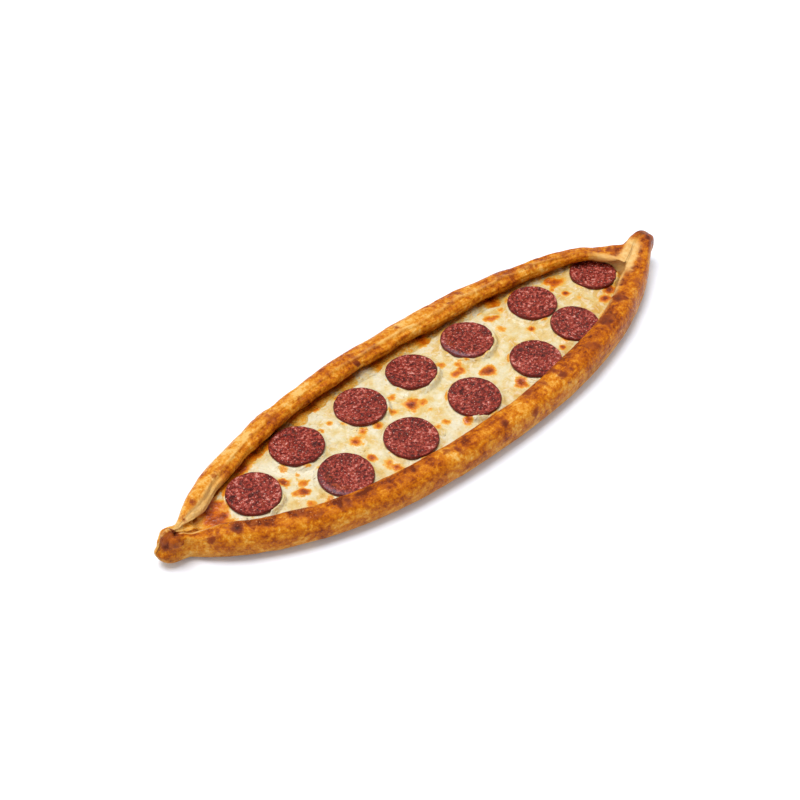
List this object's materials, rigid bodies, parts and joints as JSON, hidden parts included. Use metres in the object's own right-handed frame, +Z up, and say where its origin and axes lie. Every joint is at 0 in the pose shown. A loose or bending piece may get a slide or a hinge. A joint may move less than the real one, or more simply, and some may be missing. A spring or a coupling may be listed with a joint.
{
  "type": "turkish pide",
  "caption": "Open boat-shaped baked flatbread with a rolled rim pinched into two tips, filled with melted cheese under round sausage slices.",
  "frame": {"origin": "on the table, under the middle of the bread", "axes": "+X along the bread from the knotted tip to the upturned tip, +Y across it, +Z up"},
  "size_m": [0.4153, 0.1218, 0.0254],
  "materials": {
    "crust": "baked, egg-glazed bread crust, golden brown",
    "cheese": "melted cheese with toasted spots",
    "sausage": "cured beef sausage, dark red with pale fat specks"
  },
  "bodies": {
    "root": {"crust": "crust", "cheese": "cheese", "sausage_01": "sausage", "sausage_02": "sausage", "sausage_03": "sausage", "sausage_04": "sausage", "sausage_05": "sausage", "sausage_06": "sausage", "sausage_07": "sausage", "sausage_08": "sausage", "sausage_09": "sausage", "sausage_10": "sausage", "sausage_11": "sausage", "sausage_12": "sausage"}
  },
  "joints": []
}
